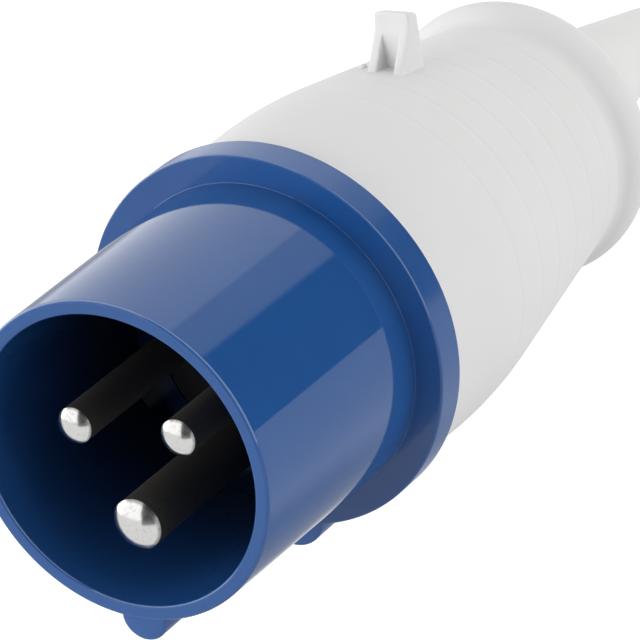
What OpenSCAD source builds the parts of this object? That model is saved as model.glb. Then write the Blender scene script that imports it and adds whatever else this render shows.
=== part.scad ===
// Round cable plug: three contact pins inside a keyed sleeve, with a pale
// twist-on grip behind it. Units are millimetres. X points right, Y runs from
// the open mouth towards the cord end, and Z points up. The origin is the
// centre of the sleeve's mouth.

/* [Sleeve] */
// Outside radius of the sleeve at its mouth
sleeve_r = 22; // [20:0.5:26]
// Wall of the sleeve at its mouth
sleeve_wall = 2; // [1.6:0.1:2.6]
// Growth of the outside radius from the mouth to the flange
sleeve_draft = 0.45; // [0.2:0.05:0.8]
// Distance from the mouth to the front face of the flange
flange_y = 36.4; // [33:0.2:42]
// Thickness of the flange
flange_t = 4.8; // [4:0.2:7]
// How far the flange stands out past the sleeve's root
flange_out = 3.9; // [3.4:0.1:6]
// Rounding of the mouth's edges and of the key rib's front edge
lip_round = 0.45; // [0.3:0.05:0.7]
// Rounding of the flange's front edge
flange_round = 0.3; // [0.2:0.05:1.4]
// Rounding where the sleeve meets the flange
root_round = 0.5; // [0.3:0.1:2.8]

/* [Key and nose] */
// Width of the key rib, whose crest is a half circle
key_w = 6.6; // [5.6:0.2:7.6]
// Height of the key rib
key_h = 3.1; // [2.6:0.1:3.8]
// Distance from the mouth to the front of the key rib
key_in = 0.2; // [0.1:0.05:1]
// Radius of the rounded nose under the flange
nose_r = 4.8; // [3.5:0.1:5.5]
// How far the nose stands out past the flange
nose_out = 3.25; // [2:0.25:3.5]

/* [Contact pins] */
// Radius of the circle that the pins stand on
pin_circle_r = 8.6; // [8:0.1:9]
// Angle from the earth pin to each of the other two
pin_angle = 116.5; // [106:0.5:120]
// How far the pin circle sits below the sleeve's axis
pin_drop = 1.1; // [0:0.1:1.3]
// Radius of the line and neutral pins
phase_r = 2.5; // [2:0.1:3]
// Radius of the earth pin
earth_r = 3.5; // [3:0.1:4]
// Depth of the line and neutral tips below the mouth
phase_tip_y = 2.1; // [1.5:0.1:8]
// Depth of the earth tip below the mouth
earth_tip_y = 0.7; // [0.4:0.1:4]
// Radius of a pin's domed tip, as a multiple of the pin's own radius
tip_dome = 1.3; // [1.05:0.05:1.6]
// Extra radius of a pin where the carrier holds it
pin_seat = 0.2; // [0.1:0.05:0.4]
// Wall of metal around the wire hole in a terminal
terminal_wall = 2.1; // [1.8:0.1:2.3]
// Radius of the wire hole in a terminal
wire_r = 2.1; // [1.6:0.1:2.3]
// Extra radius of the earth pin's terminal
earth_more = 0.4; // [0:0.1:0.6]
// Distance from a terminal's front end to its screw
screw_at = 13; // [12.5:0.1:13.5]

/* [Contact carrier] */
// Thickness of the step that stops the carrier
ledge_t = 2; // [1.6:0.2:3]
// Width of the step that stops the carrier
ledge_w = 2.5; // [2:0.1:3]
// Thickness of the carrier's flange
carrier_t = 5.5; // [5:0.5:7]
// Length of the terminal block behind that flange
block_len = 18; // [17:0.5:22]
// How far the terminals reach into that flange
pocket_in = 3; // [2:0.2:3.4]
// Length of the threaded ring that holds the carrier
ring_len = 3.4; // [2.6:0.2:4]
// Thickness of the plate behind the terminals
plate_t = 2.5; // [2:0.25:3.5]

/* [Fasteners] */
// Shank radius of the terminal and clamp screws
screw_r = 1.9; // [1.6:0.1:2]
// Head radius of those screws
screw_head_r = 3.3; // [3:0.1:3.6]
// Head height of those screws
screw_head_h = 2.2; // [1.6:0.2:2.4]
// Shank radius of the plate screws
plate_screw_r = 1.25; // [1:0.05:1.4]
// Head radius of the plate screws
plate_head_r = 2.4; // [2.2:0.1:2.6]
// Head height of the plate screws
plate_head_h = 1.6; // [1.2:0.1:2]

/* [Twist lock] */
// Length of the tube that enters the grip
spigot_len = 11.8; // [11:0.2:14]
// Wall of the tube that enters the grip
spigot_wall = 1.5; // [1.2:0.1:1.8]
// Wall of the grip's rim outside the bayonet ways
rim_wall = 2.8; // [2.5:0.1:3.2]
// Distance from the flange to the bayonet lugs
lug_at = 4.8; // [4.2:0.2:5.4]
// Height of the bayonet lugs
lug_h = 1; // [0.8:0.1:1.2]
// Thickness of the bayonet lugs along the axis
lug_t = 3; // [2:0.2:3.6]
// Width of each bayonet lug as an angle
lug_angle = 16; // [10:1:22]
// Twist from locked to free
twist = 30; // [20:1:45]

/* [Grip] */
// Largest radius of the grip
grip_r = 25; // [24:0.1:27]
// How much smaller the grip's radius is at its front
front_fall = 0.3; // [0:0.1:0.6]
// Distance from the flange to the grip's largest radius
crest_at = 14.8; // [14.2:0.2:16]
// Smallest radius of the grip
waist_r = 18.95; // [18:0.05:20]
// Length of the grip from the flange to the bulge's crest
grip_len = 64.9; // [63:0.1:68]
// How far the bulge at the back of the grip stands out past the waist
bulge_out = 1.55; // [1.2:0.05:2.2]
// Rounding of the bulge
bulge_round = 5.4; // [5:0.1:5.8]
// Rounding between the waist and the bulge
waist_round = 4; // [3:0.5:5]
// Wall of the grip
grip_wall = 2.6; // [2.2:0.1:3]
// Wall of the grip around the ring that holds the cone
tail_wall = 3.25; // [2.8:0.05:3.4]
// Thickness of the grip's back around the cord hole
tail_floor = 4.5; // [4:0.1:5]
// Depth of the grip's ring lines
line_depth = 0.15; // [0.1:0.05:0.5]
// Width of the grip's ring lines
line_w = 0.8; // [0.5:0.1:1.2]

/* [Retaining hook] */
// Width of the hook on top of the grip
hook_w = 5.3; // [4.5:0.1:8]
// Height of the hook above the axis
hook_z = 30.6; // [29:0.1:33]
// Fall of the hook's top towards the back
hook_fall = 0.7; // [0:0.1:1.2]
// Rounding of the hook's top corners
hook_round = 0.6; // [0.3:0.1:1.2]
// How far the hook sits beside the top of the grip
hook_side = 1.2; // [0:0.1:2]
// Distance from the flange to the hook's front foot
hook_at = 31.6; // [30:0.2:34]
// Length of the hook's foot
hook_len = 6.2; // [5.6:0.1:8]
// Thickness of the hook at its top
hook_wall = 2.5; // [2:0.1:2.9]
// Height of the upright face above the hook's ramp
hook_face = 2; // [1.2:0.1:3]
// Length of the pocket in the hook's ramp
pocket_len = 3; // [2:0.1:3.4]
// Thickness of the hook's two side ribs
hook_rib = 1.3; // [1:0.1:1.6]
// Radius of the round pip beside the hook
pip_r = 0.7; // [0.5:0.1:1]
// Distance from the hook's side to that pip
pip_at = 2.5; // [1.6:0.1:3]

/* [Cord entry] */
// Length of the cone that stands out of the grip
cone_len = 36.5; // [30:0.5:44]
// Radius of the cone where it leaves the grip
cone_base_r = 11.4; // [10.5:0.1:11.6]
// Radius of the cone at its tip
cone_tip_r = 4.1; // [4:0.1:6]
// Radius of the hole at the cone's tip
cord_r = 3; // [2.4:0.1:3.2]
// Length of the straight hole at the cone's tip
cord_len = 8; // [6:0.5:10]
// Wall of the cone where it leaves the grip
cone_wall = 2.8; // [2.2:0.1:3.4]
// Rounding of the cone's tip
cone_round = 0.5; // [0.2:0.1:0.8]
// Thickness of the cone's flange inside the grip
cone_flange_t = 3.1; // [2.5:0.1:3.5]
// Thickness of the threaded ring that holds that flange
keeper_t = 2.4; // [2:0.1:2.8]

/* [Cord clamp] */
// Distance from the flange to the cord clamp
clamp_at = 36.8; // [36:0.2:38]
// Length of the cord clamp along the cord
clamp_len = 9; // [8.2:0.2:9.6]
// Gap between the clamp's corners and the inside of the grip
clamp_gap = 1.5; // [1:0.1:2]
// Height of the clamp's lower half
clamp_drop = 7.8; // [7:0.1:8]
// Height of the clamp's saddle
saddle_h = 6.4; // [5.6:0.1:6.6]
// Thickness of the two arms that carry the clamp
arm_w = 3; // [2.4:0.1:3.2]
// Width of the clamp's square nuts
nut_w = 6.6; // [6.2:0.1:7]
// Thickness of those nuts
nut_h = 3; // [2.4:0.1:3.4]
// Wall beside each nut
nut_wall = 1.1; // [0.9:0.1:1.4]

/* [Fits] */
// Gap between parts that only sit together
fit_gap = 0.15; // [0.1:0.05:0.2]
// Gap between faces that bear on each other
seat_gap = 0.05; // [0.02:0.01:0.1]
// Gap between the grip and the parts that it turns over
turn_gap = 0.3; // [0.25:0.05:0.4]

/* [Hidden] */
$fn = 96;
mouth_r = sleeve_r - sleeve_wall;
key_r = key_w / 2;
key_at = sleeve_r + key_h - key_r;
root_r = sleeve_r + sleeve_draft;
flange_r = root_r + flange_out;
flange_back = flange_y + flange_t;
nose_at = flange_r + nose_out - nose_r;

// The grip turns on the spigot, and its rim lies outside the bayonet lugs.
slot_r = grip_r - rim_wall;
spigot_r = slot_r - lug_h - turn_gap;
spigot_end = flange_back + spigot_len;
socket_r = spigot_r + turn_gap;
grip_y = flange_back + turn_gap;
lug_y = flange_back + lug_at;
front_r = grip_r - front_fall;

// The carrier sits behind a step in the sleeve's floor.
face_in = 0.1;
ring_room = 2;
barrel_play = 0.3;
wire_past = 3;
plate_edge = 1.4;
bore_r = spigot_r - spigot_wall;
ledge_r = bore_r - ledge_w;
ledge_y = flange_y + ledge_t;
carrier_r = bore_r - fit_gap;
boss_r = ledge_r - fit_gap;
carrier_y = ledge_y + seat_gap;
face_y = flange_y + face_in;
carrier_back = carrier_y + carrier_t;
block_r = bore_r - ring_room;
block_back = carrier_back + block_len;
pocket_y = carrier_back - pocket_in;
ring_y = carrier_back + seat_gap;
plate_y = block_back + seat_gap;
plate_back = plate_y + plate_t;
phase_barrel_r = wire_r + terminal_wall;
earth_barrel_r = phase_barrel_r + earth_more;
barrel_y = pocket_y + 2 * seat_gap;
barrel_back = block_back - barrel_play;
screw_y = pocket_y + screw_at;
wire_floor_y = screw_y - screw_head_r - wire_past;
plate_screw_at = block_r - plate_head_r - plate_edge;
plate_screw_len = 7;

// The seal lies in the grip's front face, and the bulge at its back.
seal_land = 0.6;
seal_in_r = slot_r + seal_land;
seal_out_r = front_r - seal_land;
seal_t = 1.6;
seal_floor_y = flange_back + fit_gap + seat_gap + seal_t;
bulge_y = flange_back + grip_len;
bulge_r = waist_r + bulge_out;
bulge_core_r = bulge_r - bulge_round;
grip_back = bulge_y + bulge_round;
waist_drop = sqrt(pow(bulge_round + waist_round, 2) - pow(waist_r + waist_round - bulge_core_r, 2));
waist_y = bulge_y - waist_drop;
tail_bore_r = waist_r - tail_wall;
tail_floor_y = grip_back - tail_floor;
entry_r = cone_base_r + turn_gap;

// Fall of the grip's radius from its crest to its waist, as shares of both.
crest_y = flange_back + crest_at;
grip_fall = [
    [0, 0], [0.09, 0.013], [0.18, 0.066], [0.27, 0.152], [0.36, 0.254], [0.45, 0.372],
    [0.54, 0.492], [0.63, 0.609], [0.72, 0.721], [0.81, 0.836], [0.91, 0.965], [1, 1]
];
line_pitch = (waist_y - crest_y) * 0.157;
line_first = crest_y + (waist_y - crest_y) * 0.118;
line_count = 6;

// The cord clamp hangs on two arms behind the terminal plate.
cord_play = 0.3;
hole_play = 0.25;
clamp_y = flange_back + clamp_at;
clamp_room_r = hollow_at(clamp_y + clamp_len) - clamp_gap;
clamp_half_w = sqrt(pow(clamp_room_r, 2) - pow(clamp_drop, 2));
clamp_mid_y = clamp_y + clamp_len / 2;
clamp_screw_x = clamp_half_w - nut_w / 2 - nut_wall;
clamp_bore_r = cord_r + cord_play;
clamp_hole_r = screw_r + hole_play;

// The soft cone is held inside the back of the grip by a threaded ring.
cone_play = 1;
cone_flange_r = tail_bore_r - cone_play;
cone_flange_y = tail_floor_y - cone_flange_t;
cone_end = grip_back + cone_len;
cone_hole_r = cone_base_r - cone_wall;
keeper_y = cone_flange_y - keeper_t;
keeper_r = tail_bore_r - fit_gap;

function grip_at(y) =
    y <= crest_y
        ? front_r + (grip_r - front_r) * max(0, (y - grip_y) / (crest_y - grip_y))
        : grip_r - (grip_r - waist_r) * lookup((y - crest_y) / (waist_y - crest_y), grip_fall);

function hollow_at(y) = min(socket_r, grip_at(y) - grip_wall);

function line_y(i) = line_first + i * line_pitch;

function pin_xy(a) = [pin_circle_r * cos(90 + a), pin_circle_r * sin(90 + a) + pin_drop];

// Lays what is drawn upright along the Y axis, with the key side down.
module lie() {
    rotate([-90, 0, 0]) children();
}

// Puts children at a pin's place; a is the angle from the earth pin.
module at_pin(a) {
    translate([pin_xy(a)[0], pin_xy(a)[1], 0]) children();
}

// Section of a disc with rounded rims, from y0 to y1.
module disc_section(r_in, r_out, y0, y1, front_round, back_round) {
    polygon([
        [r_in, y0], [r_out - front_round, y0], [r_out, y0 + front_round],
        [r_out, y1 - back_round], [r_out - back_round, y1], [r_in, y1]
    ]);
    translate([r_out - front_round, y0 + front_round]) circle(r = front_round);
    translate([r_out - back_round, y1 - back_round]) circle(r = back_round);
}

// Section of the sleeve, flange, step and spigot.
module shell_section() {
    difference() {
        union() {
            polygon([
                [mouth_r, lip_round], [mouth_r + lip_round, 0], [sleeve_r - lip_round, 0],
                [sleeve_r, lip_round], [root_r, face_y], [mouth_r, face_y]
            ]);
            for (r = [mouth_r + lip_round, sleeve_r - lip_round])
                translate([r, lip_round]) circle(r = lip_round);
            difference() {
                translate([root_r - 0.3, flange_y - root_round]) square([root_round + 0.3, root_round + 0.1]);
                translate([root_r + root_round, flange_y - root_round]) circle(r = root_round);
            }
            disc_section(ledge_r, flange_r, flange_y, flange_back, flange_round, flange_round / 2);
            translate([bore_r - 0.5, flange_back - 0.5]) square([spigot_r - bore_r + 0.5, spigot_len + 0.5]);
        }
        translate([ledge_r - 1, ledge_y]) square([bore_r - ledge_r + 1, spigot_len + flange_t]);
    }
}

// Half of the key rib seen from below, with its rounded front edge.
module key_section() {
    edge_y = key_in + lip_round;
    polygon([[0, key_in], [key_r - lip_round, key_in], [key_r, edge_y], [key_r, face_y], [0, face_y]]);
    translate([key_r - lip_round, edge_y]) circle(r = lip_round);
}

// Key rib under the sleeve: straight flanks that run into a half round crest.
module key_rib() {
    difference() {
        union() {
            translate([0, key_at, 0]) rotate_extrude() key_section();
            translate([0, key_at, 0]) rotate([90, 0, 0]) linear_extrude(height = key_at - mouth_r) {
                key_section();
                mirror([1, 0, 0]) key_section();
            }
        }
        translate([0, 0, -1]) cylinder(r = mouth_r + sleeve_wall / 2, h = face_y + 2);
    }
}

// Half section of the round nose under the flange.
module nose_section() {
    intersection() {
        disc_section(0, nose_r, flange_y, flange_back, flange_round, flange_round / 2);
        translate([0, flange_y]) square([nose_r, flange_t]);
    }
}

module front_shell() {
    color([0.05, 0.2, 0.5]) lie() {
        rotate_extrude() shell_section();
        key_rib();
        difference() {
            translate([0, nose_at, 0]) rotate_extrude() nose_section();
            translate([0, 0, flange_y - 1]) cylinder(r = bore_r, h = flange_t + 2);
        }
        for (a = [90, 210, 330])
            rotate([0, 0, a - lug_angle / 2]) rotate_extrude(angle = lug_angle)
                translate([spigot_r - 0.5, lug_y]) square([lug_h + 0.5, lug_t]);
    }
}

// Pockets for the terminals and the screw holes that reach them.
module terminal_cuts(a, shank, barrel) {
    at_pin(a) {
        translate([0, 0, flange_y - 1]) cylinder(r = shank + pin_seat + seat_gap, h = carrier_t + 1);
        translate([0, 0, pocket_y]) cylinder(r = barrel + fit_gap, h = carrier_t + block_len);
        translate([0, 0, screw_y]) rotate([0, 90, 90 + a]) cylinder(r = screw_head_r + 0.4, h = 2 * block_r);
    }
}

module plate_screw_places() {
    for (a = [180, 40, -40])
        translate([plate_screw_at * cos(90 + a), plate_screw_at * sin(90 + a), 0]) children();
}

module contact_carrier() {
    color([0.1, 0.1, 0.11]) lie() difference() {
        rotate_extrude() polygon([
            [0, face_y], [boss_r, face_y], [boss_r, carrier_y], [carrier_r, carrier_y],
            [carrier_r, carrier_back], [block_r, carrier_back], [block_r, block_back], [0, block_back]
        ]);
        terminal_cuts(pin_angle, phase_r, phase_barrel_r);
        terminal_cuts(-pin_angle, phase_r, phase_barrel_r);
        terminal_cuts(0, earth_r, earth_barrel_r);
        plate_screw_places() translate([0, 0, block_back - plate_screw_len - 1])
            cylinder(r = plate_screw_r + seat_gap, h = plate_screw_len + 2);
    }
}

module carrier_ring() {
    color([0.1, 0.1, 0.11]) lie() difference() {
        rotate_extrude() translate([block_r + 0.3, ring_y]) square([carrier_r - block_r - 0.3, ring_len]);
        for (a = [0, 90, 180, 270])
            rotate([0, 0, a]) translate([block_r, -1.5, ring_y + ring_len - 1.2]) cube([4, 3, 2]);
    }
}

// One turned pin: domed tip, shank, seat, barrel with a wire hole and a screw hole.
module contact_pin(a, shank, barrel, tip_y) {
    dome_r = shank * tip_dome;
    rim_y = tip_y + dome_r - sqrt(pow(dome_r, 2) - pow(shank, 2));
    lie() at_pin(a) difference() {
        rotate_extrude() difference() {
            union() {
                polygon([
                    [0, rim_y], [shank, rim_y], [shank, face_y], [shank + pin_seat, face_y],
                    [shank + pin_seat, barrel_y], [barrel, barrel_y], [barrel, barrel_back], [0, barrel_back]
                ]);
                intersection() {
                    translate([0, tip_y + dome_r]) circle(r = dome_r);
                    square([shank, rim_y + 0.1]);
                }
            }
            translate([-1, wire_floor_y]) square([wire_r + 1, barrel_back]);
        }
        translate([0, 0, screw_y]) rotate([0, 90, 90 + a]) cylinder(r = screw_r + seat_gap, h = 2 * barrel);
    }
}

module line_pin() {
    color([0.72, 0.71, 0.68]) contact_pin(pin_angle, phase_r, phase_barrel_r, phase_tip_y);
}

module neutral_pin() {
    color([0.72, 0.71, 0.68]) contact_pin(-pin_angle, phase_r, phase_barrel_r, phase_tip_y);
}

module earth_pin() {
    color([0.72, 0.71, 0.68]) contact_pin(0, earth_r, earth_barrel_r, earth_tip_y);
}

// One slotted cheese-head screw on +Z with the underside of its head at z = 0.
module slotted_screw(r, head_r, head_h, len) {
    difference() {
        union() {
            translate([0, 0, -len]) cylinder(r = r, h = len + 0.1);
            cylinder(r = head_r, h = head_h);
        }
        translate([-head_r - 1, -0.4, head_h * 0.45]) cube([2 * head_r + 2, 0.8, head_h]);
    }
}

module terminal_screw(a, barrel) {
    at_pin(a) translate([0, 0, screw_y]) rotate([0, 90, 90 + a])
        translate([0, 0, barrel + seat_gap])
            slotted_screw(screw_r, screw_head_r, screw_head_h, barrel - wire_r - 2 * seat_gap);
}

module terminal_screws() {
    color([0.75, 0.74, 0.7]) lie() {
        terminal_screw(pin_angle, phase_barrel_r);
        terminal_screw(-pin_angle, phase_barrel_r);
        terminal_screw(0, earth_barrel_r);
    }
}

module clamp_screw_places() {
    for (s = [-1, 1]) translate([s * clamp_screw_x, clamp_mid_y, 0]) children();
}

// Plate behind the terminals with two arms and the lower half of the cord clamp.
module terminal_plate() {
    arm_len = clamp_y - plate_y + 1;
    nut_hole = nut_w + 2 * fit_gap;
    color([0.13, 0.13, 0.14]) difference() {
        union() {
            lie() translate([0, 0, plate_y]) cylinder(r = block_r - 0.1, h = plate_t);
            for (s = [-1, 1])
                translate([s * (clamp_half_w - arm_w / 2) - arm_w / 2, plate_y + 0.5, -clamp_drop])
                    cube([arm_w, arm_len, clamp_drop]);
            translate([-clamp_half_w, clamp_y, -clamp_drop]) cube([2 * clamp_half_w, clamp_len, clamp_drop]);
        }
        lie() {
            for (a = [pin_angle, -pin_angle, 0])
                at_pin(a) translate([0, 0, plate_y - 1]) cylinder(r = wire_r + 0.4, h = plate_t + 2);
            plate_screw_places() translate([0, 0, plate_y - 1])
                cylinder(r = plate_screw_r + fit_gap, h = plate_t + 2);
            translate([0, 0, clamp_y - 1]) cylinder(r = clamp_bore_r, h = clamp_len + 2);
        }
        clamp_screw_places() {
            translate([0, 0, -clamp_drop - 1]) cylinder(r = clamp_hole_r, h = clamp_drop + 2);
            translate([-nut_hole / 2, -nut_hole / 2, -clamp_drop - 1])
                cube([nut_hole, nut_hole, nut_h + 1 + fit_gap]);
        }
    }
}

module plate_screws() {
    color([0.75, 0.74, 0.7]) lie() plate_screw_places()
        translate([0, 0, plate_back + seat_gap])
            slotted_screw(plate_screw_r, plate_head_r, plate_head_h, plate_t + plate_screw_len);
}

module clamp_saddle() {
    color([0.13, 0.13, 0.14]) difference() {
        translate([-clamp_half_w, clamp_y + 0.5, seat_gap]) cube([2 * clamp_half_w, clamp_len - 1, saddle_h]);
        lie() translate([0, 0, clamp_y - 1]) cylinder(r = clamp_bore_r, h = clamp_len + 2);
        clamp_screw_places() translate([0, 0, -1]) cylinder(r = clamp_hole_r, h = saddle_h + 2);
    }
}

module clamp_screws() {
    color([0.75, 0.74, 0.7]) clamp_screw_places() translate([0, 0, saddle_h + 2 * seat_gap])
        slotted_screw(screw_r, screw_head_r, screw_head_h, saddle_h + clamp_drop - 0.4);
}

module clamp_nuts() {
    color([0.75, 0.74, 0.7]) clamp_screw_places() translate([0, 0, -clamp_drop]) difference() {
        translate([-nut_w / 2, -nut_w / 2, 0]) cube([nut_w, nut_w, nut_h]);
        translate([0, 0, -1]) cylinder(r = screw_r + seat_gap, h = nut_h + 2);
    }
}

module housing_seal() {
    color([0.06, 0.06, 0.06]) lie() rotate_extrude()
        translate([seal_in_r + seat_gap, flange_back + seat_gap])
            square([seal_out_r - seal_in_r - 2 * seat_gap, seal_t]);
}

// Outside of the grip: straight bands between shallow ring lines, then the bulge.
module grip_section() {
    hollow_r = waist_r + waist_round;
    share = bulge_round / (bulge_round + waist_round);
    touch = [bulge_core_r + (hollow_r - bulge_core_r) * share, bulge_y - waist_drop * share];
    polygon(concat(
        [[socket_r - 1, grip_y], [front_r - 0.4, grip_y], [front_r, grip_y + 0.4], [grip_r, crest_y]],
        [[grip_at(crest_y + 2.5), crest_y + 2.5]],
        [for (i = [0 : line_count - 1], k = [0 : 4])
            let (y = line_y(i) + [-line_w / 2, 0, line_w / 2, line_pitch * 0.35, line_pitch * 0.65][k])
            if (k < 3 || i < line_count - 1) [grip_at(y) - (k == 1 ? line_depth : 0), y]],
        [[waist_r, waist_y], [waist_r, bulge_y], [bulge_core_r, bulge_y], [bulge_core_r, grip_back],
            [2, grip_back], [2, bulge_y - 2], [tail_bore_r - 1, waist_y]]
    ));
    translate([bulge_core_r, bulge_y]) circle(r = bulge_round);
    difference() {
        polygon([[waist_r - 1, waist_y], [hollow_r, waist_y], touch, [bulge_core_r, bulge_y]]);
        translate([hollow_r, waist_y]) circle(r = waist_round);
    }
}

// Hollow of the grip, from its open front to the cord hole.
module grip_hollow() {
    polygon(concat(
        [[0, grip_y - 1], [socket_r, grip_y - 1], [socket_r, crest_y + 6]],
        [for (t = [0.3 : 0.14 : 0.87])
            let (y = crest_y + t * (waist_y - crest_y)) [hollow_at(y), y]],
        [[waist_r - grip_wall, waist_y - 4], [tail_bore_r, waist_y - 1], [tail_bore_r, tail_floor_y],
            [entry_r, tail_floor_y], [entry_r, grip_back + 1], [0, grip_back + 1]]
    ));
}

// Retaining hook: a ramp up to an upright face, with a pocket between two ribs.
module hook() {
    foot_y = flange_back + hook_at;
    back_y = foot_y + hook_len;
    wall_y = back_y - hook_wall;
    foot_z = grip_at(back_y) - 1;
    side = hook_w / 2;
    intersection() {
        translate([-side - 1, 0, 0]) rotate([90, 0, 90]) linear_extrude(height = hook_w + 2)
            polygon([
                [foot_y, foot_z], [foot_y, grip_at(foot_y)], [wall_y, hook_z - hook_face],
                [wall_y, hook_z], [back_y, hook_z - hook_fall], [back_y, foot_z]
            ]);
        translate([0, back_y + 1, 0]) rotate([90, 0, 0]) linear_extrude(height = hook_len + 2) {
            polygon([
                [-side, 0], [side, 0], [side, hook_z - hook_round], [side - hook_round, hook_z],
                [hook_round - side, hook_z], [-side, hook_z - hook_round]
            ]);
            for (x = [hook_round - side, side - hook_round])
                translate([x, hook_z - hook_round]) circle(r = hook_round);
        }
    }
}

// Pocket between the hook's two ribs.
module hook_pocket() {
    half_w = hook_w / 2 - hook_rib;
    translate([-half_w, flange_back + hook_at - 1, 0]) cube([2 * half_w, pocket_len + 1, hook_z]);
}

// Round pip beside the hook's ramp.
module hook_pip() {
    x = hook_w / 2 + pip_at - hook_side;
    y = flange_back + hook_at + hook_len / 2;
    translate([-x, y, sqrt(pow(grip_at(y), 2) - pow(x, 2))]) rotate_extrude() intersection() {
        circle(r = pip_r);
        translate([0, -pip_r]) square([pip_r, 2 * pip_r]);
    }
}

// Bayonet ways inside the grip: an entry from the front, then a way around.
module lock_ways() {
    side = lug_angle / 2 + 1.5;
    for (a = [90, 210, 330]) {
        rotate([0, 0, a - twist - side]) rotate_extrude(angle = twist + 2 * side)
            translate([socket_r - 1, lug_y - turn_gap]) square([slot_r - socket_r + 1, lug_t + 2 * turn_gap]);
        rotate([0, 0, a - twist - side]) rotate_extrude(angle = 2 * side)
            translate([socket_r - 1, grip_y - 1])
                square([slot_r - socket_r + 1, lug_y + lug_t + turn_gap - grip_y + 1]);
    }
}

module rear_grip() {
    color([0.72, 0.72, 0.71]) difference() {
        union() {
            lie() rotate_extrude() grip_section();
            translate([hook_side, 0, 0]) difference() {
                hook();
                hook_pocket();
            }
            hook_pip();
        }
        lie() {
            rotate_extrude() grip_hollow();
            rotate_extrude() translate([seal_in_r, grip_y - 1])
                square([seal_out_r - seal_in_r, seal_floor_y - grip_y + 1]);
            lock_ways();
        }
    }
}

module cord_cone() {
    color([0.72, 0.72, 0.71]) lie() rotate_extrude() difference() {
        union() {
            polygon([
                [0, cone_flange_y + seat_gap], [cone_flange_r, cone_flange_y + seat_gap],
                [cone_flange_r, tail_floor_y - seat_gap], [cone_base_r, tail_floor_y - seat_gap],
                [cone_base_r, grip_back], [cone_tip_r, cone_end - cone_round],
                [cone_tip_r - cone_round, cone_end], [0, cone_end]
            ]);
            translate([cone_tip_r - cone_round, cone_end - cone_round]) circle(r = cone_round);
        }
        polygon([
            [-1, cone_flange_y - 1], [cone_hole_r, cone_flange_y - 1], [cone_hole_r, grip_back],
            [cord_r, cone_end - cord_len], [cord_r, cone_end + 1], [-1, cone_end + 1]
        ]);
    }
}

module cone_keeper() {
    color([0.13, 0.13, 0.14]) lie() difference() {
        rotate_extrude() translate([cone_hole_r, keeper_y]) square([keeper_r - cone_hole_r, keeper_t]);
        for (a = [0, 180])
            rotate([0, 0, a]) translate([cone_hole_r - 1, -1.5, keeper_y - 1]) cube([4, 3, keeper_t / 2 + 1]);
    }
}

front_shell();
contact_carrier();
carrier_ring();
line_pin();
neutral_pin();
earth_pin();
terminal_screws();
terminal_plate();
plate_screws();
clamp_saddle();
clamp_screws();
clamp_nuts();
housing_seal();
rear_grip();
cord_cone();
cone_keeper();
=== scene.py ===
"""Looks of a round three-pole cable plug with a blue front moulding and a pale twist-on grip.

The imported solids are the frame. The mouldings that show are built again here as finer meshes
in the same place, and every other piece keeps its solid and gets its finish. Sizes are in
millimetres, depth runs along +Y from the open mouth, and turns are degrees from +Z towards +X.
"""
import logging
import math
from dataclasses import dataclass, field
from enum import Enum
from typing import Callable

import bmesh
import bpy
import numpy as np
from mathutils import Matrix, Vector


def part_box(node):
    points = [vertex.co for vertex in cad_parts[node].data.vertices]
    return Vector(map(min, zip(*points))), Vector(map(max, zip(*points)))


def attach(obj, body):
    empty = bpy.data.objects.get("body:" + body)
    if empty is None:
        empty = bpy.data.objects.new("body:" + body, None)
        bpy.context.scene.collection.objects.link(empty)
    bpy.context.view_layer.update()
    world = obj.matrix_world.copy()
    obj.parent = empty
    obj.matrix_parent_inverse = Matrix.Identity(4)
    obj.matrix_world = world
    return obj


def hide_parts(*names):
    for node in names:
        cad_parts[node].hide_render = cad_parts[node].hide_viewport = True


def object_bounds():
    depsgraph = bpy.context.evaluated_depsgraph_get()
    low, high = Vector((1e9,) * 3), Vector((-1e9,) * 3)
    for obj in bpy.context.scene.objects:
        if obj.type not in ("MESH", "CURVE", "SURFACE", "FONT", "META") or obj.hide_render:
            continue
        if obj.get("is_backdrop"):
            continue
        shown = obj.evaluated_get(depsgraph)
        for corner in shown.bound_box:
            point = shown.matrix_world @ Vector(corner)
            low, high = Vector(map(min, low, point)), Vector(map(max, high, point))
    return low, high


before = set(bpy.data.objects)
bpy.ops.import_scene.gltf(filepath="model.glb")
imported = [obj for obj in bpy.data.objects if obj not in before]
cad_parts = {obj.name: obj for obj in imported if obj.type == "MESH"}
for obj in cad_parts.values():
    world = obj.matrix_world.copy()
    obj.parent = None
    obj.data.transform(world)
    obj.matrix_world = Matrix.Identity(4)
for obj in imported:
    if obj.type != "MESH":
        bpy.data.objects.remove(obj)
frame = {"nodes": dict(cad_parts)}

LOG = logging.getLogger("cable_plug")
MM = 0.001
WELD = 0.0005  # points closer than this become one
SLIVER = 0.0002  # edges shorter than this go
SLIT = 0.02  # half the slit between two rows of points at a step
NEAR = 0.01  # difference at which two lengths count as the same
TINY = 1e-6  # keeps a division away from zero
NOISE_SPAN = (0.3, 0.7)  # where an even noise has nearly all its values
WAVE_BANDS = 20  # rate of the wave texture at scale 1

Point = tuple[float, float]
Triple = tuple[float, float, float]
Colour = Triple
Relief = Callable[[np.ndarray, np.ndarray, np.ndarray], np.ndarray]


class Body(Enum):
    """Bodies of the plug that turn against each other."""

    FRONT = "front"
    REAR = "rear"


class Slot(Enum):
    """Names of material slots for the pieces that are built again; no piece here is given them."""

    SHELL = "blue_shell"
    GRIP = "pale_grip"
    CONE = "soft_cone"
    CONTACT = "plated_contact"


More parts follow.
